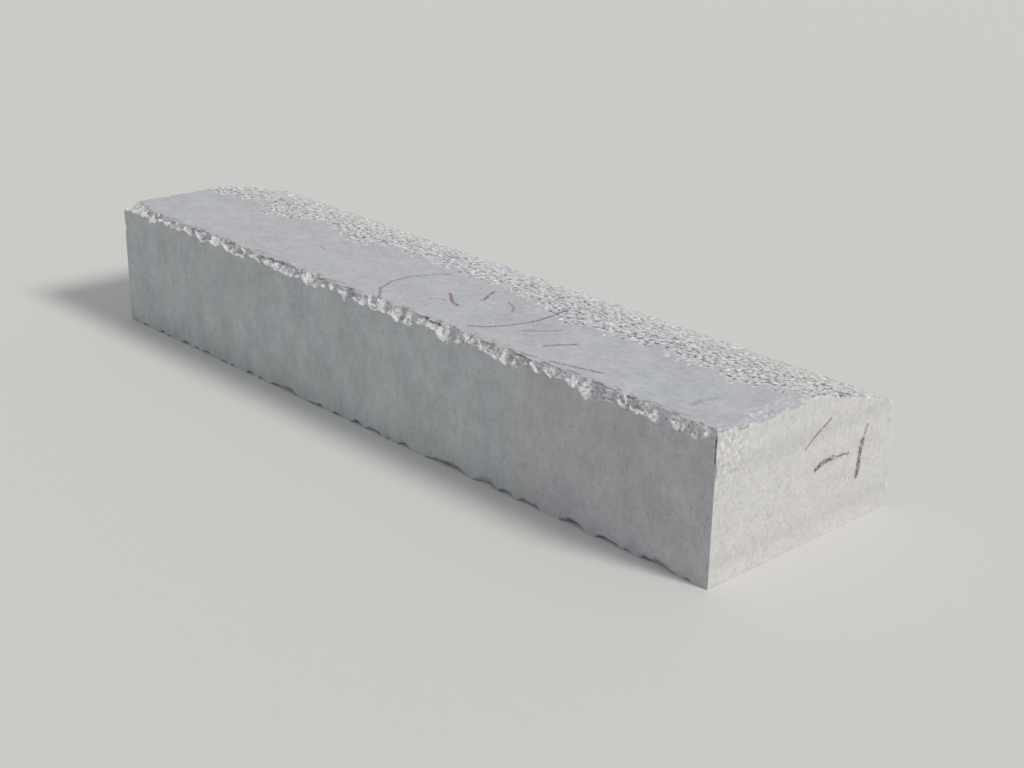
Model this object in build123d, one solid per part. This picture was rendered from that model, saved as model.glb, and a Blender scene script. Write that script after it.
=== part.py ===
from build123d import *
from math import ceil, sqrt
from random import Random
import os

# A granite kerb stone, lying on its sawn back face.
# X runs along the kerb, the foot faces -Y, the kerb face is up and the crown faces +Y.
# The origin is at the middle of the back face, at floor level.

# Sawn block. It is a little out of true: the foot and the crown thin towards the right end.
length = 1000
depth = 270
left_foot_thickness = 156
right_foot_thickness = 150
left_crown_thickness = 131
right_crown_thickness = 115

# Dressed face: a level sawn strip by the foot, then a batter hammered down to the crown
left_strip_width = 156
right_strip_width = 139
knee_radius = 110
crown_radius = 28

# Upper foot arris, knocked off in a run of scars. Reach is measured across the strip and
# drop down the foot, at the left end, the middle and the right end of the run.
scar_pitch = 10
left_scar_reach, middle_scar_reach, right_scar_reach = 8.5, 9, 6.5
left_scar_drop, middle_scar_drop, right_scar_drop = 6.5, 9.5, 10

# Some of these scars are angular flakes, the others round bowls. A flake is cut smaller than
# a bowl, because its skew makes it reach farther.
flake_share = 0.5
flake_width = 16
flake_skew = 32
flake_size = 0.7

# The block that cuts a flake, as a multiple of the reach and the drop, so that it clears both faces
block_size = 3

# The largest breaks of that arris: distance from the left end, reach and drop
large_breaks = (
    (8, 22, 7),
    (26, 19, 7),
    (212, 12, 9),
    (404, 13, 11),
    (560, 12, 12),
    (640, 13, 16),
    (846, 12, 17),
    (929, 9, 13),
)

# Lower foot arris, nicked by handling: small bowls of very uneven size
nick_pitch = 30
nick_reach = 5
nick_rise = 3

# The largest nicks of that arris: distance from the left end, reach, rise, and the radius
# of the bowl as a multiple of its chord, which is what makes a nick long
large_nicks = (
    (334, 5, 5, 4),
    (356, 6, 7, 4),
    (516, 5, 5, 3),
    (632, 6, 6, 4),
    (652, 7, 8, 4),
    (704, 7, 9, 2.2),
    (734, 5, 6, 2.4),
    (762, 5, 5, 3.2),
    (828, 7, 8, 2.8),
    (878, 5, 5, 4),
    (939, 6, 7, 4),
)

# Arrises of the two sawn ends, worn where they meet the strip and at the head of the foot
wear_pitch = 14
wear_width = 2.2
wear_start = 32
wear_height = 40

# Long scoops that dish the strip's arris with the right end: distance from the foot, reach
# along the strip, drop down the end, and the bowl's radius as a multiple of its chord
right_end_scoops = (
    (36, 4, 3.5, 6),
    (70, 9, 7, 6),
    (111, 8, 6, 6),
    (140, 4, 3, 6),
)

# How far a scar, or a nick or worn place, strays from its regular place and size,
# as a share of each
scar_unevenness = 0.42
nick_unevenness = 0.75

# Radius of a bowl, as a multiple of its chord
scar_bowl = 0.95
nick_bowl = 1.6
worn_bowl = 4

# How far the dressed-off waste stands out past the slab, so that it is cut clean away
waste_margin = 10

left_end = -length / 2
right_end = length / 2
foot_face = -depth / 2
crown_face = depth / 2

rightward, inward, upward = Vector(1, 0, 0), Vector(0, 1, 0), Vector(0, 0, 1)


class Arris:
    """A straight arris, with the way into the stone across each of its two faces."""

    def __init__(self, start, end, across, down, unevenness, seed):
        self.start = start
        self.along = end - start
        self.across = across
        self.down = down
        self.unevenness = unevenness
        self.chance = Random(seed)

    def uneven(self, size):
        """The size, strayed at random."""
        return size * (1 + self.unevenness * self.chance.uniform(-1, 1))

    def stations(self, pitch):
        """Unevenly spaced shares of the arris, as many as the pitch asks for."""
        count = ceil(self.along.length / pitch)
        stray = self.unevenness / 2
        return [(i + 0.5 + self.chance.uniform(-stray, stray)) / count for i in range(count)]

    def point(self, share, across=0, down=0):
        """A point at a share of the arris, moved into the stone across and down its faces."""
        return self.start + self.along * share + self.across * across + self.down * down

    def flake(self, share, width, reach, drop):
        """An angular scar: the skewed edge of a block that lies outside both faces."""
        edge = Plane(self.point(share, reach, drop), x_dir=self.along, z_dir=-self.down)
        skew = [self.chance.uniform(-flake_skew, flake_skew) for _ in range(3)]
        corner = (Align.CENTER, Align.MAX, Align.MIN)
        return edge.rotated(skew) * Box(width, block_size * reach, block_size * drop, align=corner)

    def bowl(self, share, reach, drop, flatness):
        """A ball that meets one face at the reach and the other at the drop."""
        chord = sqrt(reach**2 + drop**2)
        radius = flatness * chord
        outward = -(self.across * drop + self.down * reach) / chord
        chord_middle = self.point(share, reach / 2, drop / 2)
        centre = chord_middle + outward * sqrt(radius**2 - chord**2 / 4)
        ball_plane = Plane(centre, x_dir=outward, z_dir=self.across.cross(self.down))
        return ball_plane * Sphere(radius)


def along_run(share, left, middle, right):
    """A size that changes evenly from the left end to the middle, and on to the right end."""
    if share < 0.5:
        return left + (middle - left) * share * 2
    return middle + (right - middle) * (share * 2 - 1)


def sawn_slab():
    """The slab as it is sawn: the outline of the foot, run back to the crown."""
    outline = Polyline(
        (left_end, 0),
        (right_end, 0),
        (right_end, right_foot_thickness),
        (left_end, left_foot_thickness),
        close=True,
    )
    return extrude(Plane.XZ.offset(-foot_face) * make_face(outline), -depth)


def waste_section(x, foot_thickness, strip_width, crown_thickness):
    """What is dressed off the slab at one end: a wedge above the batter, open to the crown side."""
    batter_width = depth - strip_width
    batter_fall = (foot_thickness - crown_thickness) / batter_width
    knee = foot_face + strip_width
    outline = Polyline(
        (knee, foot_thickness),
        (knee + batter_width + waste_margin, crown_thickness - batter_fall * waste_margin),
        (knee + batter_width + waste_margin, foot_thickness + waste_margin),
        (knee, foot_thickness + waste_margin),
        close=True,
    )
    return Plane.YZ.offset(x) * make_face(outline)


def dressed_block():
    """The slab with its batter dressed from one end to the other, and its knee and crown rounded."""
    left_waste = waste_section(left_end, left_foot_thickness, left_strip_width, left_crown_thickness)
    right_waste = waste_section(right_end, right_foot_thickness, right_strip_width, right_crown_thickness)
    block = sawn_slab() - loft([left_waste, right_waste], ruled=True)
    strip_width = (left_strip_width + right_strip_width) / 2
    foot_thickness = (left_foot_thickness + right_foot_thickness) / 2
    crown_thickness = (left_crown_thickness + right_crown_thickness) / 2
    knee_middle = Vector(0, foot_face + strip_width, foot_thickness)
    crown_middle = Vector(0, crown_face, crown_thickness)
    for middle, radius in ((knee_middle, knee_radius), (crown_middle, crown_radius)):
        block = fillet(block.edges().sort_by_distance(middle)[0], radius)
    return block


def upper_foot_scars():
    """The run of scars along the head of the foot, and its largest breaks."""
    left_head = Vector(left_end, foot_face, left_foot_thickness)
    right_head = Vector(right_end, foot_face, right_foot_thickness)
    arris = Arris(left_head, right_head, inward, -upward, scar_unevenness, seed=31)
    scars = []
    for share in arris.stations(scar_pitch):
        reach = arris.uneven(along_run(share, left_scar_reach, middle_scar_reach, right_scar_reach))
        drop = arris.uneven(along_run(share, left_scar_drop, middle_scar_drop, right_scar_drop))
        if arris.chance.random() < flake_share:
            width = arris.uneven(flake_width)
            scars.append(arris.flake(share, width, flake_size * reach, flake_size * drop))
        else:
            scars.append(arris.bowl(share, reach, drop, arris.uneven(scar_bowl)))
    for distance, reach, drop in large_breaks:
        scars.append(arris.bowl(distance / length, reach, drop, scar_bowl))
    return scars


def lower_foot_nicks():
    """The smaller nicks along the underside of the foot."""
    toe = Vector(left_end, foot_face, 0)
    arris = Arris(toe, toe + rightward * length, inward, upward, nick_unevenness, seed=7)
    nicks = [
        arris.bowl(share, arris.uneven(nick_reach), arris.uneven(nick_rise), nick_bowl)
        for share in arris.stations(nick_pitch)
    ]
    for distance, reach, rise, flatness in large_nicks:
        nicks.append(arris.bowl(distance / length, reach, rise, flatness))
    return nicks


def end_wear(corner, into_stone, strip_width, seed):
    """The shallow wear on one end, along the strip's edge and down the foot's edge."""
    strip_start, strip_stop = corner + inward * wear_start, corner + inward * strip_width
    foot_stop = corner - upward * wear_height
    edges = (
        Arris(strip_start, strip_stop, into_stone, -upward, nick_unevenness, seed),
        Arris(corner, foot_stop, into_stone, inward, nick_unevenness, seed),
    )
    return [
        edge.bowl(share, edge.uneven(wear_width), edge.uneven(wear_width), worn_bowl)
        for edge in edges
        for share in edge.stations(wear_pitch)
    ]


def right_end_dishing(corner):
    """The scoops along the strip's arris with the right end."""
    strip_stop = corner + inward * right_strip_width
    arris = Arris(corner, strip_stop, -rightward, -upward, nick_unevenness, seed=1)
    return [
        arris.bowl(distance / right_strip_width, reach, drop, flatness)
        for distance, reach, drop, flatness in right_end_scoops
    ]


left_corner = Vector(left_end, foot_face, left_foot_thickness)
right_corner = Vector(right_end, foot_face, right_foot_thickness)
kerb = dressed_block() - upper_foot_scars() - lower_foot_nicks()
kerb -= end_wear(left_corner, rightward, left_strip_width, seed=3)
kerb -= end_wear(right_corner, -rightward, right_strip_width, seed=12)
kerb -= right_end_dishing(right_corner)

# A crumb that the scars cut free falls away
kerb = kerb.solids().sort_by(SortBy.VOLUME)[-1]
kerb.label = "kerb_stone"

os.makedirs("parts", exist_ok=True)
export_step(kerb, "parts/kerb_stone.step")
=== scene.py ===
import math

import bpy
import numpy as np
from mathutils import Matrix, Vector, noise
from mathutils.bvhtree import BVHTree


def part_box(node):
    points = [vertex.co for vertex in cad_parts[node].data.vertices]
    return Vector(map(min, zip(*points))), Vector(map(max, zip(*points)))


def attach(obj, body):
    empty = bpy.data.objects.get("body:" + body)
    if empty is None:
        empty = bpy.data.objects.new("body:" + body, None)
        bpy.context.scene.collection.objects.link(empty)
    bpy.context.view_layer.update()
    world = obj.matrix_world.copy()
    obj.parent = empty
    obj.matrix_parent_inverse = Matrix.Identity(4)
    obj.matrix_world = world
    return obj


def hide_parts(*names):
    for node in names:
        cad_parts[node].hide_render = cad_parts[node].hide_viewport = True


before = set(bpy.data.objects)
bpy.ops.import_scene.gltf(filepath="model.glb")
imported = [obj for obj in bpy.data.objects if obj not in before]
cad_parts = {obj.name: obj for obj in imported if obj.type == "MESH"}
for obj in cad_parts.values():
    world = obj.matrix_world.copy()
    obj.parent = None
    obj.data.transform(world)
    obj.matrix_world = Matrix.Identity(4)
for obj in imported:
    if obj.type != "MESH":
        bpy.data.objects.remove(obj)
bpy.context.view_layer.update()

# The stone lies on its sawn back face. X runs along it, the foot faces -Y and the crown +Y.
MM = 0.001
LOW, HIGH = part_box("kerb_stone")
FOOT_FACE, CROWN_FACE = LOW.y, HIGH.y
LENGTH = HIGH.x - LOW.x

# Where the photograph was taken from, with a longer lens turned onto the one stone
CAMERA_PLACE = (1.2844, -1.1081, 0.6626)
CAMERA_TARGET = (0.096, 0.0, 0.046)
CAMERA_ROLL = math.radians(0.9)
CAMERA_LENS = 55

# Low sun from the right and a little from behind, softened, under an even sky
SUN_WAY = (-0.76, -0.17, -0.62)
SUN_SPREAD = math.radians(14)
SUN_STRENGTH = 2.05
SUN_COLOUR = (1.0, 0.965, 0.905)
SKY_STRENGTH = 0.42
SKY_COLOUR = (0.94, 0.97, 1.0)

# The floor reaches the horizon of a low view, and lies a hair under the stone
FLOOR_REACH = 30.0
FLOOR_GAP = 0.2 * MM

# The surface is a grid of points, cast outwards from a core inside the stone, whose ceiling
# falls towards the crown as the batter does. Stations stand along the stone, and they crowd
# towards its two ends.
CORE_INSET = 34 * MM
CORE_CROWN = 80 * MM
STATION_STEP = 6.4 * MM
END_ZONE, END_STATIONS, END_CROWDING = 18 * MM, 14, 1.6
END_GAP = 0.02 * MM

# A ray that slips between two facets starts again nearer to the origin, by this share
RAY_SHIFT = 0.0003

# Rings of points on the ends: their shares of the way from the outline in to the middle
END_SHARES = (0.02, 0.06, 0.13, 0.25, 0.45, 0.7, 0.9)

# Round the section the points lie closer where the relief is finer, and there each step
# between two stations is divided into rows
SCAR_BAND = 24 * MM
SCAR_STEP, SCAR_ROWS = 1.15 * MM, 5
NICK_BAND = 14 * MM
NICK_STEP, NICK_ROWS = 2 * MM, 3
HAMMER_BAND = 96 * MM
HAMMER_STEP, HAMMER_ROWS = 2.4 * MM, 3
CROWN_BAND = 80 * MM
CROWN_STEP = 3.5 * MM
PLAIN_STEP = 8 * MM
BACK_STEP = 40 * MM

# Faces that meet at less than this angle are shaded as one
SHARP_ANGLE = math.radians(38)

# Broken stone: flat-sided chunks, with grains broken out of them, within BROKEN_WIDTH of the
# foot. It reaches its full relief BROKEN_EDGE below the sawn faces, and worn arrises have only a
# share of that relief.
BROKEN_WIDTH = 120 * MM
BROKEN_EDGE = 0.6 * MM
WORN_RELIEF = 0.4
CHUNK_SIZE, CHUNK_DEPTH = 7 * MM, 1.1 * MM
GRAIN_SIZE, GRAIN_DEPTH = 2.8 * MM, 0.65 * MM

# Depths below the sawn faces over which a fresh break and old wear come to show
FRACTURE_DEPTHS = (0.1 * MM, 0.7 * MM)
WORN_DEPTHS = (0.1 * MM, 0.6 * MM)

# Painted shadow under the strip's lip, where the lip shades the broken stone below it: the depths
# over which it starts and ends, and how far it keeps from the foot's face and from both ends
LIP_SHADOW_START, LIP_SHADOW_END = (0.2 * MM, 0.9 * MM), (3.6 * MM, 1.8 * MM)
LIP_SHADOW_FROM_FOOT, LIP_SHADOW_FROM_END = (3 * MM, 6 * MM), (8 * MM, 20 * MM)

# Hammered dressing: where it starts on the strip, as distances in millimetres from the left end
# and from the foot, and how far that line frays. A blow falls where the dressing passes its own
# random number, give or take BLOW_EDGE, and its depth is counted from MEAN_BLOW, so that the
# face keeps its level.
HAMMER_LINE = (
    (0, 124), (60, 136), (106, 146), (150, 116), (200, 131), (228, 157), (279, 136), (331, 131),
    (385, 154), (432, 148), (590, 143), (678, 124), (709, 111), (750, 121), (794, 119),
    (826, 131), (853, 118), (898, 125), (934, 112), (967, 128), (1000, 136),
)
HAMMER_FRINGE = 15 * MM
BLOW_SIZE, BLOW_DEPTH, MEAN_BLOW = 6 * MM, 1.2 * MM, 0.4
BLOW_EDGE = 0.12
CRUMB_SIZE, CRUMB_DEPTH = 4 * MM, 0.6 * MM

# Above the crown's last fine points the hammered relief grows to its full depth over this height
RELIEF_FADE = 12 * MM

# How far each seed moves the noise, and the factors that make two random numbers of one cell
NOISE_STEPS, CELL_STEPS = (17.3, 5.9, 11.7), (7.1, 13.7, 3.3)
FIRST_FACTOR, SECOND_FACTOR = 91.7, 53.1

# The range of the facets' levels and the radius of a blow, as shares of a facet's and a blow's size
FACET_LEVEL, BLOW_RADIUS = 0.6, 0.7

# What the material reads at each point: hammered stone and the depth of its blows, which gets
# painted shade, fresh breaks and the painted shadow under their lip, and old wear
MASKS = ("hammered", "blow", "fracture", "lip_shadow", "worn")


def spaced(start, end, step):
    """Evenly spaced values from start up to, but not including, end."""
    count = max(1, round(abs(end - start) / step))
    return list(start + (end - start) * np.arange(count) / count)


def smooth(low, high, value):
    """A smooth step from 0 at low to 1 at high."""
    share = np.clip((value - low) / (high - low), 0, 1)
    return share * share * (3 - 2 * share)


def section_loop():
    """Points (y, z) round the section's box, and the rows that follow each of them."""
    points, rows = [], []

    def stretch(start, end, step, row_count):
        """One stretch of the box's outline, from one point up to the next."""
        way = np.subtract(end, start)
        for distance in spaced(0, np.linalg.norm(way), step):
            points.append(start + way * distance / np.linalg.norm(way))
            rows.append(row_count)

    scar_start, scar_end = (FOOT_FACE, HIGH.z - SCAR_BAND), (FOOT_FACE + SCAR_BAND, HIGH.z)
    nick_end, nick_start = (FOOT_FACE, LOW.z + NICK_BAND), (FOOT_FACE + NICK_BAND, LOW.z)
    hammer_start, crown_end = (FOOT_FACE + HAMMER_BAND, HIGH.z), (CROWN_FACE, CROWN_BAND)
    stretch((FOOT_FACE, LOW.z), nick_end, NICK_STEP, NICK_ROWS)
    stretch(nick_end, scar_start, PLAIN_STEP, 1)
    stretch(scar_start, (FOOT_FACE, HIGH.z), SCAR_STEP, SCAR_ROWS)
    stretch((FOOT_FACE, HIGH.z), scar_end, SCAR_STEP, SCAR_ROWS)
    stretch(scar_end, hammer_start, PLAIN_STEP, 1)
    stretch(hammer_start, (CROWN_FACE, HIGH.z), HAMMER_STEP, HAMMER_ROWS)
    stretch((CROWN_FACE, HIGH.z), crown_end, CROWN_STEP, HAMMER_ROWS)
    stretch(crown_end, (CROWN_FACE, LOW.z), PLAIN_STEP, 1)
    stretch((CROWN_FACE, LOW.z), (CROWN_FACE - NICK_BAND, LOW.z), NICK_STEP, 1)
    stretch((CROWN_FACE - NICK_BAND, LOW.z), nick_start, BACK_STEP, 1)
    stretch(nick_start, (FOOT_FACE, LOW.z), NICK_STEP, NICK_ROWS)
    return np.array(points), rows


def stations():
    """Places along the stone, from just inside the left end to just inside the right end."""
    half = LENGTH / 2 - END_GAP
    crowded = half - END_ZONE * (np.arange(END_STATIONS) / END_STATIONS) ** END_CROWDING
    between = spaced(-half + END_ZONE, half - END_ZONE, STATION_STEP)
    return [*-crowded, *between, half - END_ZONE, *crowded[::-1]]


class Stone:
    """The stone's solid, for casting rays at."""

    def __init__(self):
        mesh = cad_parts["kerb_stone"].data
        corners = [v.co for v in mesh.vertices]
        self.tree = BVHTree.FromPolygons(corners, [p.vertices for p in mesh.polygons], epsilon=1e-6)
        ends = (LOW.x + CORE_INSET, HIGH.x - CORE_INSET)
        middle = FOOT_FACE + (SCAR_BAND + HAMMER_BAND) / 2
        above = np.array([(x, middle, 2 * HIGH.z) for x in ends])
        below = np.array([(x, middle, HIGH.z) for x in ends])
        self.strip = np.polyfit(ends, self.cast(above, below)[0][:, 2], 1)

    def strip_level(self, x):
        """How high the sawn strip lies at each place along the stone."""
        return np.polyval(self.strip, x)

    def cast(self, origins, targets):
        """Where each ray meets the solid, and the way it goes."""
        ways = targets - origins
        ways /= np.linalg.norm(ways, axis=1)[:, None]
        points = np.empty(targets.shape)
        for index, (origin, way) in enumerate(zip(origins, ways)):
            hit = None
            # A ray that slips between two facets is cast again a hair's breadth beside
            while hit is None:
                hit = self.tree.ray_cast(Vector(origin), Vector(way))[0]
                origin = origin * (1 - RAY_SHIFT)
            points[index] = hit
        return points, ways


class Skin:
    """The stone's surface: rings of points round it, rows between them where fine, and ends."""

    def __init__(self):
        self.stone = Stone()
        self.loop, self.rows = section_loop()
        core_y = np.clip(self.loop[:, 0], FOOT_FACE + CORE_INSET, CROWN_FACE - CORE_INSET)
        ceiling = np.interp(core_y, (0, CROWN_FACE - CORE_INSET), (HIGH.z - CORE_INSET, CORE_CROWN))
        core_z = np.clip(self.loop[:, 1], LOW.z + CORE_INSET, ceiling)
        self.core = np.column_stack((core_y, core_z))
        self.batches, self.polygons, self.count = [], [], 0
        everywhere = range(len(self.loop))
        rings = [(x, self.add_points([(x, k) for k in everywhere])) for x in stations()]
        for first, last in zip(rings, rings[1:]):
            self.add_strips(first, last)
        self.add_end(LOW.x, rings[0][1])
        self.add_end(HIGH.x, rings[-1][1])

    def add_batch(self, table):
        """Points with their masks; their numbers come back."""
        self.batches.append(table)
        first, self.count = self.count, self.count + len(table)
        return list(range(first, self.count))

    def add_points(self, places):
        """Points at pairs of a place along the stone and a number round its section."""
        origins = np.array([(x, *self.core[k]) for x, k in places])
        targets = np.array([(x, *self.loop[k]) for x, k in places])
        points, ways = self.stone.cast(origins, targets)
        return self.add_batch(shape_surface(self.stone, points, ways))

    def add_strips(self, first, last):
        """The faces between two rings, divided into rows where the stations stand wide apart."""
        (first_x, first_ring), (last_x, last_ring) = first, last
        around = len(self.loop)
        wide = last_x - first_x > STATION_STEP / 2
        rows = self.rows if wide else [1] * around
        counts = [max(rows[k], rows[k - 1]) for k in range(around)]
        places = [
            (first_x + (last_x - first_x) * row / counts[k], k)
            for k in range(around)
            for row in range(1, counts[k])
        ]
        between = iter(self.add_points(places)) if places else iter(())
        lines = [
            [first_ring[k], *(next(between) for _ in range(1, counts[k])), last_ring[k]]
            for k in range(around)
        ]
        for k in range(around):
            near, far = lines[k], lines[(k + 1) % around]
            if rows[k] == 1:
                self.polygons.append([*near, *far[::-1]])
                continue
            for row in range(rows[k]):
                self.polygons.append([near[row], near[row + 1], far[row + 1], far[row]])

    def add_end(self, x, outline):
        """One end face: rings from the outline in to the middle, flat and unmarked by the masks."""
        edge = np.concatenate(self.batches)[outline, 1:3]
        spine_reach = CROWN_FACE - 2 * CORE_INSET
        spine = np.clip(edge, (-spine_reach, HIGH.z / 2), (spine_reach, HIGH.z / 2))
        unmarked = np.zeros((len(edge), len(MASKS)))
        ring = outline
        for share in END_SHARES:
            place = edge + (spine - edge) * share
            inner = self.add_batch(np.column_stack((np.full(len(place), x), place, unmarked)))
            first, last = (ring, inner) if x > 0 else (inner, ring)
            for k in range(len(ring)):
                self.polygons.append([first[k - 1], last[k - 1], last[k], first[k]])
            ring = inner
        self.polygons.append(ring[::-1] if x > 0 else ring)


def moved(seed, steps):
    """The shift that a seed gives to the noise."""
    return Vector([seed * step for step in steps])


def noise_at(points, size, seed):
    """Soft noise from about -1 to 1, with lumps of the given size."""
    shift = moved(seed, NOISE_STEPS)
    return np.array([noise.noise(Vector(p) + shift) for p in points / size])


def facets_at(points, size, seed):
    """Flat facets of the given size, each tilted its own way and at its own level."""
    shift = moved(seed, CELL_STEPS)
    heights = []
    for p in points / size:
        place = Vector(p) + shift
        middle = noise.voronoi(place)[1][0]
        tilt = noise.cell_vector(middle * FIRST_FACTOR) * 2 - Vector((1, 1, 1))
        level = noise.cell(middle * SECOND_FACTOR)
        heights.append((place - middle).dot(tilt) + FACET_LEVEL * level)
    return np.array(heights)


def blows_at(points, size, seed):
    """Hammer blows: 1 at their middles, 0 on the ridges between, and a random number for each."""
    shift = moved(seed, CELL_STEPS)
    depths, chances = [], []
    for p in points / size:
        distances, middles = noise.voronoi(Vector(p) + shift)
        depths.append(max(0, 1 - distances[0] / BLOW_RADIUS))
        chances.append(0.5 + 0.5 * noise.cell(middles[0] * FIRST_FACTOR))
    return np.array(depths), np.array(chances)


def where(mask, function, points, *options):
    """The function's values at the masked points, and 0 at the others."""
    values = np.zeros(len(points))
    values[mask] = function(points[mask], *options)
    return values


def broken_relief(points, below_strip):
    """How deep each point is broken, and its masks: fresh fracture, painted shadow under the lip,
    and old wear.

    Broken stone stands no farther out than the sawn faces.
    """
    x, y, z = points.T
    behind_foot = y - FOOT_FACE
    from_end = LENGTH / 2 - abs(x)
    from_sawn = np.minimum.reduce((below_strip, behind_foot, z - LOW.z, from_end))
    from_sawn = np.where(behind_foot < BROKEN_WIDTH, np.maximum(from_sawn, 0), 0)
    scarred = (below_strip < SCAR_BAND) & (behind_foot < SCAR_BAND) & (from_sawn > 0)
    rough = smooth(0, BROKEN_EDGE, from_sawn) * np.where(scarred, 1, WORN_RELIEF)
    chunks = where(rough > 0, facets_at, points, CHUNK_SIZE, 1)
    grains = where(rough > 0, facets_at, points, GRAIN_SIZE, 2)
    cut = np.maximum(rough * (CHUNK_DEPTH * chunks + GRAIN_DEPTH * grains), -from_sawn)
    fracture = np.where(scarred, smooth(*FRACTURE_DEPTHS, from_sawn + cut), 0)
    # Painted shadow under the lip: a band just below the strip's level on fresh breaks, kept from
    # the foot's face and the ends
    under_lip = smooth(*LIP_SHADOW_START, below_strip) * smooth(*LIP_SHADOW_END, below_strip)
    inside = smooth(*LIP_SHADOW_FROM_FOOT, behind_foot) * smooth(*LIP_SHADOW_FROM_END, from_end)
    worn = np.where(scarred, 0, smooth(*WORN_DEPTHS, from_sawn))
    return cut, fracture, fracture * under_lip * inside, worn


def hammered_relief(points, below_strip):
    """How deep each point is hammered, and its masks: hammered stone and the depth of its blows.

    The dressing goes blow by blow from its fraying start over the batter to the crown. It stands
    no higher than the sawn strip, and is only coloured where the points lie wide apart.
    """
    x, y, z = points.T
    line_x, line_y = np.array(HAMMER_LINE).T * MM
    start = FOOT_FACE + np.interp(x - LOW.x, line_x, line_y)
    dressed = smooth(-HAMMER_FRINGE, HAMMER_FRINGE, y - start)
    dressed = np.where(z > LOW.z + MM, dressed, 0)
    near = dressed > 0
    blow, chance = np.zeros(len(points)), np.zeros(len(points))
    blow[near], chance[near] = blows_at(points[near], BLOW_SIZE, 5)
    crumbs = where(near, noise_at, points, CRUMB_SIZE, 6)
    hammered = np.where(near, smooth(chance - BLOW_EDGE, chance + BLOW_EDGE, dressed), 0)
    relief = hammered * (BLOW_DEPTH * (blow - MEAN_BLOW) + CRUMB_DEPTH * crumbs)
    relief *= smooth(LOW.z + CROWN_BAND, LOW.z + CROWN_BAND + RELIEF_FADE, z)
    return np.maximum(relief, -np.maximum(below_strip, 0)), hammered, hammered * blow


def shape_surface(stone, points, ways):
    """The points moved into broken and hammered relief, each with its masks."""
    below_strip = stone.strip_level(points[:, 0]) - points[:, 2]
    broken_cut, *broken_masks = broken_relief(points, below_strip)
    hammered_cut, *hammered_masks = hammered_relief(points, below_strip)
    shaped = points - ways * (broken_cut + hammered_cut)[:, None]
    return np.column_stack((shaped, *hammered_masks, *broken_masks))


def kerb_mesh():
    """The stone as one closed mesh that carries its masks."""
    skin = Skin()
    table = np.concatenate(skin.batches)
    mesh = bpy.data.meshes.new("granite_kerb")
    mesh.from_pydata(table[:, :3].tolist(), [], skin.polygons)
    for name, values in zip(MASKS, table[:, 3:].T):
        attribute = mesh.attributes.new(name, "FLOAT", "POINT")
        attribute.data.foreach_set("value", values.astype(np.float32))
    mesh.update()
    mesh.polygons.foreach_set("use_smooth", [True] * len(mesh.polygons))
    mesh.set_sharp_from_angle(angle=SHARP_ANGLE)
    return mesh


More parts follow.
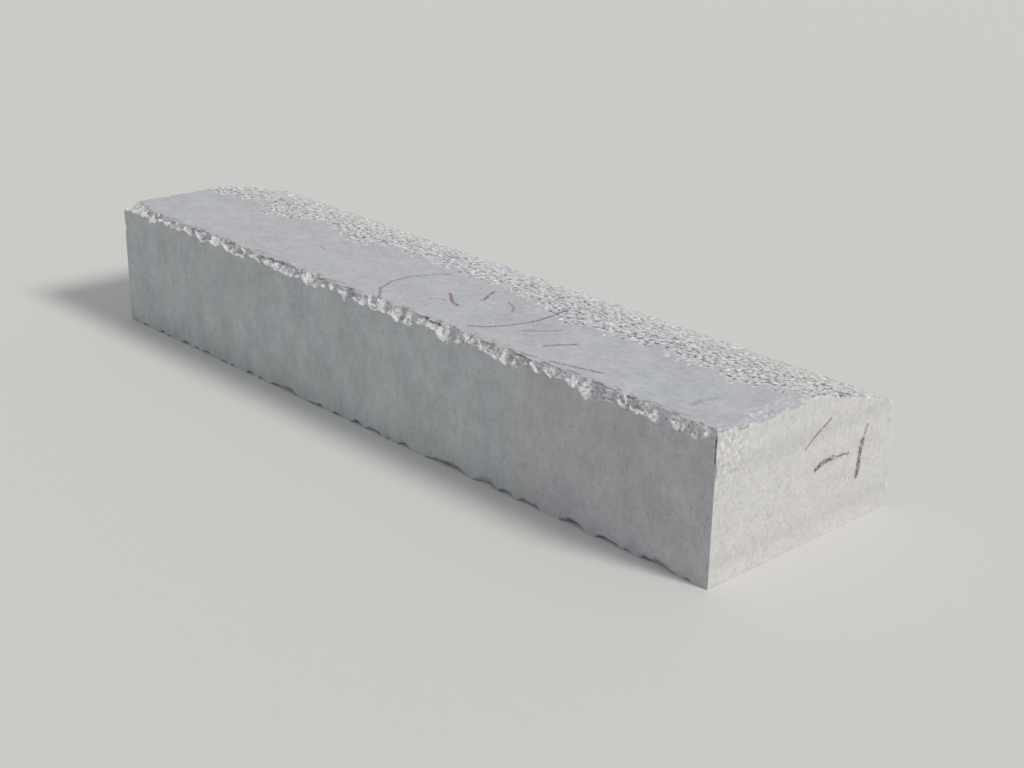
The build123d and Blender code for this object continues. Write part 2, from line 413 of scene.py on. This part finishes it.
class Nodes:
    """Short calls for building the node tree of a material or of the world."""

    def __init__(self, owner):
        owner.use_nodes = True
        self.tree = owner.node_tree
        self.tree.nodes.clear()

    def add(self, kind, inputs=(), **settings):
        """A node of that kind; inputs are (socket, value or output) pairs."""
        node = self.tree.nodes.new(kind)
        for name, value in settings.items():
            setattr(node, name, value)
        for socket, value in inputs:
            if isinstance(value, bpy.types.NodeSocket):
                self.tree.links.new(value, node.inputs[socket])
            else:
                node.inputs[socket].default_value = value
        return node

    def math(self, operation, first, second=0.0, clamp=False):
        """One sum on two numbers."""
        pairs = ((0, first), (1, second))
        return self.add("ShaderNodeMath", pairs, operation=operation, use_clamp=clamp).outputs[0]

    def product(self, first, *others):
        """Numbers multiplied together."""
        for other in others:
            first = self.math("MULTIPLY", first, other)
        return first

    def vector(self, operation, first, second):
        """One sum on two vectors; a distance or dot product comes out as a number."""
        node = self.add("ShaderNodeVectorMath", ((0, first), (1, second)), operation=operation)
        return node.outputs["Value" if operation in ("DISTANCE", "DOT_PRODUCT") else "Vector"]

    def ramp(self, value, low, high):
        """0 below low and 1 above high, smoothly between; low may be above high."""
        pairs = (("Value", value), ("From Min", low), ("From Max", high))
        return self.add("ShaderNodeMapRange", pairs, interpolation_type="SMOOTHSTEP").outputs[0]

    def between(self, value, low, high, edge):
        """1 from low to high, with soft edges, and 0 outside."""
        return self.product(self.ramp(value, low - edge, low), self.ramp(value, high + edge, high))

    def mix(self, share, first, second):
        """A colour between two."""
        node = self.add("ShaderNodeMix", ((0, share), (6, first), (7, second)), data_type="RGBA")
        return node.outputs[2]

    def shade(self, colour, amount, share):
        """A colour made lighter by the amount where the share is 1, or darker if it is negative."""
        factor = self.math("ADD", 1.0, self.math("MULTIPLY", share, amount))
        channels = ((0, factor), (1, factor), (2, factor))
        grey = self.add("ShaderNodeCombineColor", channels).outputs[0]
        pairs = ((0, 1.0), (6, colour), (7, grey))
        return self.add("ShaderNodeMix", pairs, data_type="RGBA", blend_type="MULTIPLY").outputs[2]

    def noise(self, vector, size, detail=2.0, roughness=0.5):
        """Noise about 0, from -0.5 to 0.5, with lumps of the given size."""
        pairs = (("Scale", 1 / size), ("Detail", detail), ("Roughness", roughness))
        texture = self.add("ShaderNodeTexNoise", (("Vector", vector), *pairs))
        return self.math("SUBTRACT", texture.outputs[0], 0.5)

    def patches(self, vector, size, start, full, detail=2.0):
        """Patches of the given size: 0 up to where the noise reaches start, 1 from full."""
        return self.ramp(self.noise(vector, size, detail), start, full)

    def mottle(self, colour, vector, layers):
        """A colour made lighter and darker by layers, each an amount and what noise() takes."""
        for amount, *lumps in layers:
            colour = self.shade(colour, amount, self.noise(vector, *lumps))
        return colour

    def wander(self, vector, size, amount):
        """Coordinates shifted by noise, so that what is drawn on them wavers."""
        pairs = (("Vector", vector), ("Scale", 1 / size), ("Detail", 2.0))
        shift = self.add("ShaderNodeTexNoise", pairs).outputs[1]
        shift = self.vector("SUBTRACT", shift, (0.5, 0.5, 0.5))
        return self.vector("ADD", vector, self.vector("MULTIPLY", shift, (2 * amount,) * 3))

    def cells(self, vector, size):
        """A random number for each grain of the given size."""
        pairs = (("Vector", vector), ("Scale", 1 / size), ("Randomness", 1.0))
        colour = self.add("ShaderNodeTexVoronoi", pairs).outputs["Color"]
        return self.add("ShaderNodeSeparateColor", ((0, colour),)).outputs[0]

    def mask(self, name):
        """One of the mesh's own masks."""
        return self.add("ShaderNodeAttribute", attribute_name=name).outputs["Fac"]


def rgb(red, green, blue):
    """A colour written as it looks on screen, from 0 to 255, for a shader."""
    shares = (channel / 255 for channel in (red, green, blue))
    return (*(s / 12.92 if s < 0.04045 else ((s + 0.055) / 1.055) ** 2.4 for s in shares), 1.0)


# The tables below say how colours vary over the stone. A mottling has layers, each an amount and
# a noise: its size, detail and roughness. Patches have a size, the noise at which they start and
# at which they are full, and the detail. A band has the depths below a face, or distances from an
# end, at which it starts and is full. A stretch draws noise out along the axis whose factor is
# below 1. A shade is how much lighter something is, or darker where it is negative, and grains
# have one for quartz and one for mica.
FACE_BAND = (1.2 * MM, 0.2 * MM)

# All sawn faces
SAWN_MOTTLING = ((0.10, 48 * MM, 3.0), (0.12, 4 * MM))
SAWN_GRAINS = (-0.04, -0.10)

# The sawn strip: bluish and pinkish patches, dashes of painted shadow along its broken lip, and by
# the right end pale chips and painted shade on the worn slope, which the sun lights more than the
# strip
STRIP_BLUE, STRIP_PINK = rgb(195, 198, 204), rgb(199, 197, 203)
STRIP_PATCHES = (110 * MM, -0.18, 0.18)
STRIP_MOTTLING = ((0.30, 9 * MM, 3.0), (0.28, 30 * MM, 3.0))
LIP_BAND = (17 * MM, 9 * MM)
STRIP_SHADOW_STRETCH, STRIP_SHADOW_DASHES, STRIP_SHADOW_SHADE = (0.4, 1.0, 1.0), (6 * MM, 0.01, 0.09, 3.0), -0.45
RIGHT_END_BAND, WORN_SLOPE_PAINTED_SHADE = (22 * MM, 12 * MM), -0.20
CHIPS, CHIP_SHADE = (4 * MM, 0.05, 0.13), 0.30

# The foot: bluish and greenish patches to the left, grey to the right, streaked by the saw
FOOT_BLUE, FOOT_GREEN, FOOT_GREY = rgb(193, 198, 202), rgb(194, 199, 197), rgb(192, 192, 196)
FOOT_TO_RIGHT = (0.12 * LENGTH, 0.36 * LENGTH)
FOOT_STRETCH, FOOT_PATCHES = (1.0, 1.0, 0.45), (50 * MM, -0.15, 0.15, 3.0)
FOOT_STREAKS = ((0.24, 24 * MM, 3.0), (0.28, 8 * MM, 3.0, 0.6))
FOOT_MOTTLING = ((0.40, 34 * MM, 4.0, 0.6),)

# The ends: level streaks, two darker saw bands given by their heights, and on the right end a
# strongly mottled corner at the head of the foot
END_GREY = rgb(204, 203, 202)
END_STRETCH, END_STREAKS = (1.0, 0.07, 1.0), ((0.12, 14 * MM),)
SAW_BANDS, SAW_BAND_FADE, SAW_BAND_SHADE = (24 * MM, 112 * MM), 13 * MM, -0.07
RIGHT_HALF = (0.0, 10 * MM)
CORNER_BAND, CORNER_HEIGHTS = (80 * MM, 10 * MM), (78 * MM, 116 * MM)
CORNER_NOISE, CORNER_SHADE = (4.8 * MM, 3.0, 0.6), 1.2
END_MOTTLING = ((0.30, 8 * MM, 3.0, 0.6),)

# The hammered face: crushed stone with white crystals, paler towards the crown, and elsewhere dark
# spots of painted shade in pits, together with dark grains, and painted shade in the blows' hollows
CRUSHED_BLUE, CRUSHED_WARM = rgb(214, 215, 220), rgb(218, 216, 216)
CRUSHED_PATCHES = (120 * MM, -0.15, 0.15)
CRUSHED_MOTTLING = ((2.1, 5 * MM, 3.0, 0.6),)
PALE_BAND, PALE_SHADE = (75 * MM, 30 * MM), 0.05
DARK_PIT_SPOTS, PIT_SPOT_PAINTED_SHADE = (5 * MM, -0.04, -0.15), -0.55
CRYSTALS, CRYSTAL_SHADE = (4.4 * MM, 0.06, 0.16), 0.34
CRUSHED_GRAINS = (-0.05, -0.22)
# Painted shade in the hollows of the blows, by their depth
BLOW_PAINTED_SHADE = -0.16

# Fresh breaks: nearly white, with painted shadow under the strip's lip, in dashes, in some
# stretches of the length
BROKEN_BLUE, BROKEN_WARM = rgb(223, 224, 228), rgb(227, 225, 223)
BROKEN_PATCHES = (60 * MM, -0.12, 0.12)
BROKEN_GRAINS = (-0.12, -0.30)
BROKEN_MOTTLING = ((0.7, 5 * MM, 3.0, 0.6),)
LIP_SHADOW_LENGTHS, LIP_SHADOW_DASHES, LIP_SHADOW_SHADE = (70 * MM, -0.05, 0.06), (12 * MM, -0.12, 0.02), -0.70

# Painted shade of small chips at the head of the upright arris between the foot and the right end:
# how far in from the end it lies, and at what heights, each with the width over which it fades
ARRIS_SHADE_DEPTHS, ARRIS_SHADE_DEPTH_FADE = (1.6 * MM, 0.5 * MM), 0.6 * MM
ARRIS_SHADE_HEIGHTS, ARRIS_SHADE_HEIGHT_FADE = (124 * MM, 145 * MM), 5 * MM
ARRIS_SHADE_BAND = (2.0 * MM, 1.0 * MM)
ARRIS_SHADE_STRETCH, ARRIS_SHADE_PATCHES, ARRIS_SHADE_AMOUNT = (1.0, 1.0, 0.4), (5 * MM, -0.08, 0.02), -0.75

# Crayon: the size and reach of its wavering, how it is rubbed thin, how far below the strip's
# level it still marks, and the distances from a stroke's middle at which it starts and is full,
# as shares of its width
RED_CRAYON, CRAYON_AND_PIT_SHADE_BROWN = rgb(138, 91, 105), rgb(104, 92, 84)
CRAYON_WAVER, CRAYON_RUBBING = (17 * MM, 2 * MM), (2.2 * MM, -0.22, 0.10, 3.0)
CRAYON_BAND = (24 * MM, 16 * MM)
STROKE_EDGE = (0.75, 0.3)

# Crayon marks of the yard, and on the right end a bruise of the arris and, in the brown crayon, the
# dark painted shade at the sides of a small pit. On the strip each point is its distance from the
# left end and from the foot, on the right end its distance from the foot and its height, all in
# millimetres. Each stroke has a width and a strength.
STRIP_STROKES = (
    (3.0, 0.75, ((541, 2), (514, 14), (492, 34), (480, 60), (480, 84), (488, 106), (502, 127))),
    (3.4, 0.95, ((648, 24), (663, 36), (675, 58), (682, 88), (680, 118), (674, 142))),
    (3.2, 0.80, ((778, 15), (806, 23), (834, 31))),
    (3.8, 0.95, ((556, 79), (574, 66), (592, 58))),
    (3.8, 0.95, ((595, 92), (588, 106), (580, 122))),
    (3.0, 0.70, ((619, 107), (634, 101), (645, 88))),
    (2.6, 0.60, ((552, 50), (569, 61))),
    (3.0, 0.80, ((696, 56), (710, 73), (720, 86))),
    (3.4, 0.85, ((742, 41), (760, 70))),
    (6.0, 0.38, ((940, 35), (939, 48), (942, 64))),
    (2.8, 0.55, ((317, 80), (331, 76))),
    (40.0, 0.07, ((636, 88), (716, 60))),
)
END_STROKES = (
    (1.9, 0.80, ((166, 121), (146, 112), (128, 100))),
    (4.6, 1.00, ((147, 75), (160, 78), (174, 80))),
    (2.6, 0.85, ((172, 79), (198, 77))),
    (6.0, 0.95, ((219, 84), (216, 66), (215, 49))),
    (2.8, 0.70, ((226, 99), (221, 88), (218, 76))),
    (1.8, 0.60, ((29, 147), (36, 146), (42, 147))),
    (1.6, 0.60, ((78, 50), (80, 47))),
    (1.4, 0.50, ((86, 49), (84, 47))),
)

# Mineral grains: their size and the blur of their edges, and which of their random numbers are
# mica and which quartz
MINERAL_SIZE, MINERAL_BLUR = 2.3 * MM, (1.7 * MM, 0.8 * MM)
MICA, QUARTZ = (0.10, 0.07), (0.42, 0.36)

# The edge of the hammered colour, speckled by noise
SPECKLE_SIZE, HAMMERED_EDGE = 5 * MM, (0.2, 0.55)

# Relief finer than the mesh: a fine noise and a noise of crystals. Sawn and broken stone have
# shares of what hammered stone has.
FINE_RELIEF, CRYSTAL_RELIEF = (1.2 * MM, 3.0, 0.6), (4.6 * MM, 2.0, 0.6)
CRYSTAL_HEIGHT, BROKEN_SHARE, SAWN_SHARE = 2.6, 0.8, 0.12
BUMP_STRENGTH, BUMP_DISTANCE = 0.8, 0.9 * MM
STONE_ROUGHNESS, STONE_SPECULAR = 0.86, 0.25

# The studio
FLOOR_GREY, BACKDROP_GREY = rgb(222, 221, 219), rgb(226, 226, 225)
FLOOR_ROUGHNESS = 0.9


def stroke_mask(nodes, flat_point, points, width):
    """1 on a line drawn through the points, 0 elsewhere."""
    nearest = None
    for first, last in zip(points, points[1:]):
        along = (last[0] - first[0], last[1] - first[1], 0.0)
        square = along[0] ** 2 + along[1] ** 2
        from_first = nodes.vector("SUBTRACT", flat_point, (*first, 0.0))
        dot = nodes.vector("DOT_PRODUCT", from_first, along)
        share = nodes.math("DIVIDE", dot, square, clamp=True)
        shares = nodes.add("ShaderNodeCombineXYZ", ((0, share), (1, share), (2, share))).outputs[0]
        distance = nodes.vector("DISTANCE", from_first, nodes.vector("MULTIPLY", shares, along))
        nearest = distance if nearest is None else nodes.math("MINIMUM", nearest, distance)
    return nodes.ramp(nearest, *(width * share for share in STROKE_EDGE))


def strokes_mask(nodes, flat_point, strokes, corner):
    """The strength of whichever stroke is drawn here; strokes start from a corner of their face."""
    total = 0.0
    for width, strength, points in strokes:
        placed = [(corner[0] + first * MM, corner[1] + second * MM) for first, second in points]
        drawn = nodes.math("MULTIPLY", stroke_mask(nodes, flat_point, placed, width * MM), strength)
        total = nodes.math("MAXIMUM", total, drawn)
    return total


def by_face(nodes, coordinate, face, inwards, band=FACE_BAND):
    """1 by the face at that coordinate, 0 deeper in the stone; inwards is 1 or -1."""
    start, full = (face + inwards * depth for depth in band)
    return nodes.ramp(coordinate, start, full)


def shade_grains(nodes, colour, shades, grains):
    """The colour with its quartz and mica grains shaded."""
    for shade, grain in zip(shades, grains):
        colour = nodes.shade(colour, shade, grain)
    return colour


def strip_colour(nodes, place, split):
    """The sawn strip, with painted shadow along its broken lip, and at the right end pale chips and
    painted shade on its worn slope.
    """
    strip = nodes.mix(nodes.patches(place, *STRIP_PATCHES), STRIP_BLUE, STRIP_PINK)
    strip = nodes.mottle(strip, place, STRIP_MOTTLING)
    # Dashes of painted shadow along the broken lip
    by_lip = by_face(nodes, split[1], FOOT_FACE, 1, LIP_BAND)
    strip_shadows = nodes.patches(nodes.vector("MULTIPLY", place, STRIP_SHADOW_STRETCH), *STRIP_SHADOW_DASHES)
    strip = nodes.shade(strip, STRIP_SHADOW_SHADE, nodes.product(by_lip, strip_shadows))
    by_right_end = by_face(nodes, split[0], HIGH.x, -1, RIGHT_END_BAND)
    # Painted shade on the worn slope by the right end, which the sun lights more than the strip
    strip = nodes.shade(strip, WORN_SLOPE_PAINTED_SHADE, nodes.product(by_right_end, nodes.mask("worn")))
    chips = nodes.patches(place, *CHIPS)
    return nodes.shade(strip, CHIP_SHADE, nodes.product(by_right_end, chips))


def foot_colour(nodes, place, split):
    """The foot, plainer to the right, with upright streaks."""
    upright = nodes.vector("MULTIPLY", place, FOOT_STRETCH)
    left = nodes.mix(nodes.patches(upright, *FOOT_PATCHES), FOOT_BLUE, FOOT_GREEN)
    foot = nodes.mix(nodes.ramp(split[0], *FOOT_TO_RIGHT), left, FOOT_GREY)
    foot = nodes.mottle(foot, upright, FOOT_STREAKS)
    return nodes.mottle(foot, place, FOOT_MOTTLING)


def end_colour(nodes, place, split):
    """The ends: level streaks and saw bands, and a mottled corner on the right end."""
    end = nodes.mottle(END_GREY, nodes.vector("MULTIPLY", place, END_STRETCH), END_STREAKS)
    for height in SAW_BANDS:
        band = nodes.between(split[2], height, height, SAW_BAND_FADE)
        end = nodes.shade(end, SAW_BAND_SHADE, band)
    by_foot = by_face(nodes, split[1], FOOT_FACE, 1, CORNER_BAND)
    right, high = nodes.ramp(split[0], *RIGHT_HALF), nodes.ramp(split[2], *CORNER_HEIGHTS)
    mottling = nodes.product(by_foot, right, high, nodes.noise(place, *CORNER_NOISE))
    end = nodes.shade(end, CORNER_SHADE, mottling)
    return nodes.mottle(end, place, END_MOTTLING)


def sawn_colour(nodes, place, split, grains):
    """The sawn faces, with what they have in common."""
    on_end = by_face(nodes, nodes.math("ABSOLUTE", split[0]), LENGTH / 2, -1)
    on_foot = by_face(nodes, split[1], FOOT_FACE, 1)
    sides = nodes.mix(on_foot, strip_colour(nodes, place, split), foot_colour(nodes, place, split))
    sawn = nodes.mix(on_end, sides, end_colour(nodes, place, split))
    sawn = nodes.mottle(sawn, place, SAWN_MOTTLING)
    return shade_grains(nodes, sawn, SAWN_GRAINS, grains)


def hammered_colour(nodes, place, split, grains):
    """The hammered face: crushed white crystals among grey ones, dark spots off the crown that are
    painted pit shade and dark grains, and painted shade in the blows.
    """
    crushed = nodes.mix(nodes.patches(place, *CRUSHED_PATCHES), CRUSHED_BLUE, CRUSHED_WARM)
    crushed = nodes.mottle(crushed, place, CRUSHED_MOTTLING)
    by_crown = by_face(nodes, split[1], CROWN_FACE, -1, PALE_BAND)
    off_crown = nodes.math("SUBTRACT", 1.0, by_crown)
    # Dark spots off the crown: painted shade of pits, together with dark grains
    shaded_pit_spots = nodes.product(nodes.patches(place, *DARK_PIT_SPOTS), off_crown)
    crushed = nodes.shade(crushed, PIT_SPOT_PAINTED_SHADE, shaded_pit_spots)
    crushed = nodes.shade(crushed, CRYSTAL_SHADE, nodes.patches(place, *CRYSTALS))
    crushed = nodes.shade(crushed, PALE_SHADE, by_crown)
    crushed = shade_grains(nodes, crushed, CRUSHED_GRAINS, grains)
    # Painted shade in the blows' hollows, darker where they are deeper
    return nodes.shade(crushed, BLOW_PAINTED_SHADE, nodes.mask("blow"))


def broken_colour(nodes, place, split, grains):
    """Fresh breaks: nearly white, with glassy grey grains and painted shadow under the strip's lip.
    """
    broken = nodes.mix(nodes.patches(place, *BROKEN_PATCHES), BROKEN_BLUE, BROKEN_WARM)
    broken = shade_grains(nodes, broken, BROKEN_GRAINS, grains)
    broken = nodes.mottle(broken, place, BROKEN_MOTTLING)
    along = nodes.add("ShaderNodeCombineXYZ", ((0, split[0]),)).outputs[0]
    # Painted shadow under the lip, in dashes along some stretches of the length
    shadowed_length = nodes.patches(along, *LIP_SHADOW_LENGTHS)
    shadow_dashes = nodes.product(nodes.mask("lip_shadow"), shadowed_length, nodes.patches(place, *LIP_SHADOW_DASHES))
    return nodes.shade(broken, LIP_SHADOW_SHADE, shadow_dashes)


def arris_chip_shade(nodes, place, split):
    """Painted shade of small chips at the head of the upright arris between the foot and the right
    end.
    """
    deepest, shallowest = (HIGH.x - depth for depth in ARRIS_SHADE_DEPTHS)
    by_end = nodes.between(split[0], deepest, shallowest, ARRIS_SHADE_DEPTH_FADE)
    by_foot = by_face(nodes, split[1], FOOT_FACE, 1, ARRIS_SHADE_BAND)
    height = nodes.between(split[2], *ARRIS_SHADE_HEIGHTS, ARRIS_SHADE_HEIGHT_FADE)
    patches = nodes.patches(nodes.vector("MULTIPLY", place, ARRIS_SHADE_STRETCH), *ARRIS_SHADE_PATCHES)
    return nodes.product(by_end, by_foot, height, patches)


def add_marks(nodes, stone, place, split):
    """The crayon strokes, with painted shade of a small pit among the brown ones, rubbed thin and
    drawn over the stone's own colour.
    """
    wavering = nodes.wander(place, *CRAYON_WAVER)
    drawn = nodes.add("ShaderNodeSeparateXYZ", ((0, wavering),)).outputs
    strip_point = nodes.add("ShaderNodeCombineXYZ", ((0, drawn[0]), (1, drawn[1]))).outputs[0]
    end_point = nodes.add("ShaderNodeCombineXYZ", ((0, drawn[1]), (1, drawn[2]))).outputs[0]
    red = strokes_mask(nodes, strip_point, STRIP_STROKES, (LOW.x, FOOT_FACE))
    # The brown strokes on the right end include painted shade at the sides of a small pit
    brown = strokes_mask(nodes, end_point, END_STROKES, (FOOT_FACE, LOW.z))
    rubbed = nodes.patches(place, *CRAYON_RUBBING)
    on_top = by_face(nodes, split[2], HIGH.z, -1, CRAYON_BAND)
    on_right_end = by_face(nodes, split[0], HIGH.x, -1)
    unbroken = nodes.math("SUBTRACT", 1.0, nodes.mask("fracture"))
    stone = nodes.mix(nodes.product(red, rubbed, on_top, unbroken), stone, RED_CRAYON)
    return nodes.mix(nodes.product(brown, rubbed, on_right_end), stone, CRAYON_AND_PIT_SHADE_BROWN)


def stone_colour(nodes, place, hammered, fracture):
    """The colour of the granite: sawn, hammered and freshly broken, with painted shade of chips at
    one arris, and marks.
    """
    split = nodes.add("ShaderNodeSeparateXYZ", ((0, place),)).outputs
    number = nodes.cells(nodes.wander(place, *MINERAL_BLUR), MINERAL_SIZE)
    mica, quartz = nodes.ramp(number, *MICA), nodes.ramp(number, *QUARTZ)
    grains = (quartz, mica)
    speckled = nodes.math("ADD", hammered, nodes.noise(place, SPECKLE_SIZE))
    stone = nodes.mix(
        nodes.ramp(speckled, *HAMMERED_EDGE),
        sawn_colour(nodes, place, split, grains),
        hammered_colour(nodes, place, split, grains),
    )
    stone = nodes.mix(fracture, stone, broken_colour(nodes, place, split, grains))
    stone = nodes.shade(stone, ARRIS_SHADE_AMOUNT, arris_chip_shade(nodes, place, split))
    return add_marks(nodes, stone, place, split)


def fine_relief(nodes, place, hammered, fracture):
    """The height of the relief that is finer than the mesh."""
    fine, crystals = nodes.noise(place, *FINE_RELIEF), nodes.noise(place, *CRYSTAL_RELIEF)
    rough = nodes.math("MAXIMUM", hammered, nodes.math("MULTIPLY", fracture, BROKEN_SHARE))
    coarse = nodes.math("ADD", fine, nodes.math("MULTIPLY", crystals, CRYSTAL_HEIGHT))
    height = nodes.product(coarse, rough)
    return nodes.math("ADD", height, nodes.math("MULTIPLY", fine, SAWN_SHARE))


def granite():
    """Pale granite under a film of stone dust."""
    material = bpy.data.materials.new("granite")
    nodes = Nodes(material)
    place = nodes.add("ShaderNodeTexCoord").outputs["Object"]
    hammered, fracture = nodes.mask("hammered"), nodes.mask("fracture")
    height = fine_relief(nodes, place, hammered, fracture)
    pairs = (("Height", height), ("Strength", BUMP_STRENGTH), ("Distance", BUMP_DISTANCE))
    bump = nodes.add("ShaderNodeBump", pairs)
    shader = nodes.add(
        "ShaderNodeBsdfPrincipled",
        (
            ("Base Color", stone_colour(nodes, place, hammered, fracture)),
            ("Roughness", STONE_ROUGHNESS),
            ("Specular IOR Level", STONE_SPECULAR),
            ("Normal", bump.outputs[0]),
        ),
    )
    nodes.add("ShaderNodeOutputMaterial", (("Surface", shader.outputs[0]),))
    return material


def add_kerb():
    """The stone itself, standing for its solid."""
    kerb = bpy.data.objects.new("granite_kerb", kerb_mesh())
    bpy.context.scene.collection.objects.link(kerb)
    kerb.data.materials.append(granite())
    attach(kerb, "root")
    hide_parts("kerb_stone")


def add_floor():
    """A plain pale floor, large enough to reach the horizon of a low view."""
    half = FLOOR_REACH
    corners = [(-half, -half, 0), (half, -half, 0), (half, half, 0), (-half, half, 0)]
    mesh = bpy.data.meshes.new("floor")
    mesh.from_pydata(corners, [], [(0, 1, 2, 3)])
    floor = bpy.data.objects.new("floor", mesh)
    floor.location.z = LOW.z - FLOOR_GAP
    bpy.context.scene.collection.objects.link(floor)
    material = bpy.data.materials.new("floor_paint")
    nodes = Nodes(material)
    pairs = (("Base Color", FLOOR_GREY), ("Roughness", FLOOR_ROUGHNESS))
    shader = nodes.add("ShaderNodeBsdfPrincipled", pairs)
    nodes.add("ShaderNodeOutputMaterial", (("Surface", shader.outputs[0]),))
    mesh.materials.append(material)


def add_sun():
    """The softened sun."""
    data = bpy.data.lights.new("sun", "SUN")
    data.angle = SUN_SPREAD
    data.energy = SUN_STRENGTH
    data.color = SUN_COLOUR
    light = bpy.data.objects.new("sun", data)
    light.rotation_euler = Vector(SUN_WAY).to_track_quat("-Z", "Y").to_euler()
    bpy.context.scene.collection.objects.link(light)


def add_sky():
    """Even light from all round, seen by the camera and in gloss and glass as a pale backdrop."""
    world = bpy.data.worlds.new("studio")
    bpy.context.scene.world = world
    nodes = Nodes(world)
    rays = nodes.add("ShaderNodeLightPath").outputs
    seen = nodes.math("MAXIMUM", rays["Is Camera Ray"], rays["Is Glossy Ray"])
    seen = nodes.math("MAXIMUM", seen, rays["Is Transmission Ray"])
    sky, backdrop = (
        nodes.add("ShaderNodeBackground", (("Color", colour), ("Strength", strength))).outputs[0]
        for colour, strength in (((*SKY_COLOUR, 1.0), SKY_STRENGTH), (BACKDROP_GREY, 1.0))
    )
    both = nodes.add("ShaderNodeMixShader", ((0, seen), (1, sky), (2, backdrop)))
    nodes.add("ShaderNodeOutputWorld", (("Surface", both.outputs[0]),))


def add_camera():
    """The photograph's viewpoint."""
    data = bpy.data.cameras.new("camera")
    data.lens = CAMERA_LENS
    camera = bpy.data.objects.new("camera", data)
    camera.location = CAMERA_PLACE
    aim = (Vector(CAMERA_TARGET) - Vector(CAMERA_PLACE)).to_track_quat("-Z", "Y").to_matrix()
    camera.rotation_euler = (aim @ Matrix.Rotation(CAMERA_ROLL, 3, "Z")).to_euler()
    bpy.context.scene.collection.objects.link(camera)
    bpy.context.scene.camera = camera


add_camera()
add_kerb()
add_floor()
add_sky()
add_sun()
bpy.context.scene.view_settings.view_transform = "Standard"
